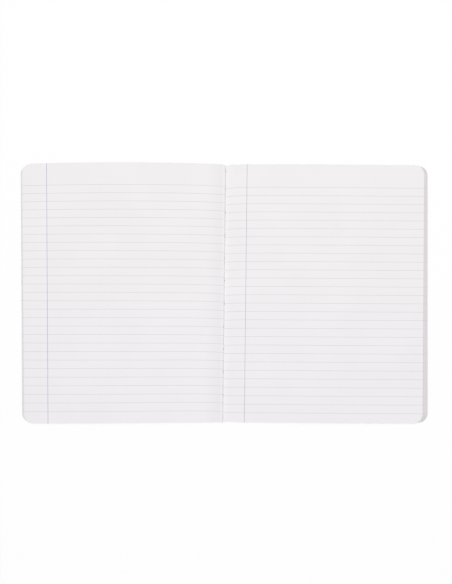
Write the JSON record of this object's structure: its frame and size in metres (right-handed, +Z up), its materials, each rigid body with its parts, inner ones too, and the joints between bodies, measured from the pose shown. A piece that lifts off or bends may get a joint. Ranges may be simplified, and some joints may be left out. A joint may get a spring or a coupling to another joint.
{
  "type": "composition notebook",
  "caption": "Open composition notebook lying flat: ruled sheets sewn through the fold, rounded corners, card covers and a cloth tape along the spine.",
  "frame": {"origin": "middle of the face of the spine tape that lies on the table, under the middle of the spread", "axes": "+X from the left-hand page to the right-hand page, +Y up the page towards the head, +Z up from the table"},
  "size_m": [0.39, 0.248, 0.007],
  "materials": {
    "paper": "uncoated white writing paper, faintly cool",
    "cover_board": "dark calendered pressboard with a grey core",
    "book_cloth": "black plain-weave book cloth tape",
    "thread": "twisted cotton sewing thread"
  },
  "bodies": {
    "book_block": {"text_block": "paper", "spine_tape": "book_cloth", "inner_thread": "thread", "outer_thread": "thread"},
    "front_cover_board": {"front_cover": "cover_board"},
    "back_cover_board": {"back_cover": "cover_board"}
  },
  "joints": [
    {"name": "front_cover_hinge", "type": "hinge", "parent": "book_block", "child": "front_cover_board", "pos_m": [-0.0042, 0, 0.00015], "axis": [0, -1, 0], "range_deg": [0, 90], "deforming": ["spine_tape"]},
    {"name": "back_cover_hinge", "type": "hinge", "parent": "book_block", "child": "back_cover_board", "pos_m": [0.0042, 0, 0.00015], "axis": [0, 1, 0], "range_deg": [0, 90], "deforming": ["spine_tape"]}
  ]
}
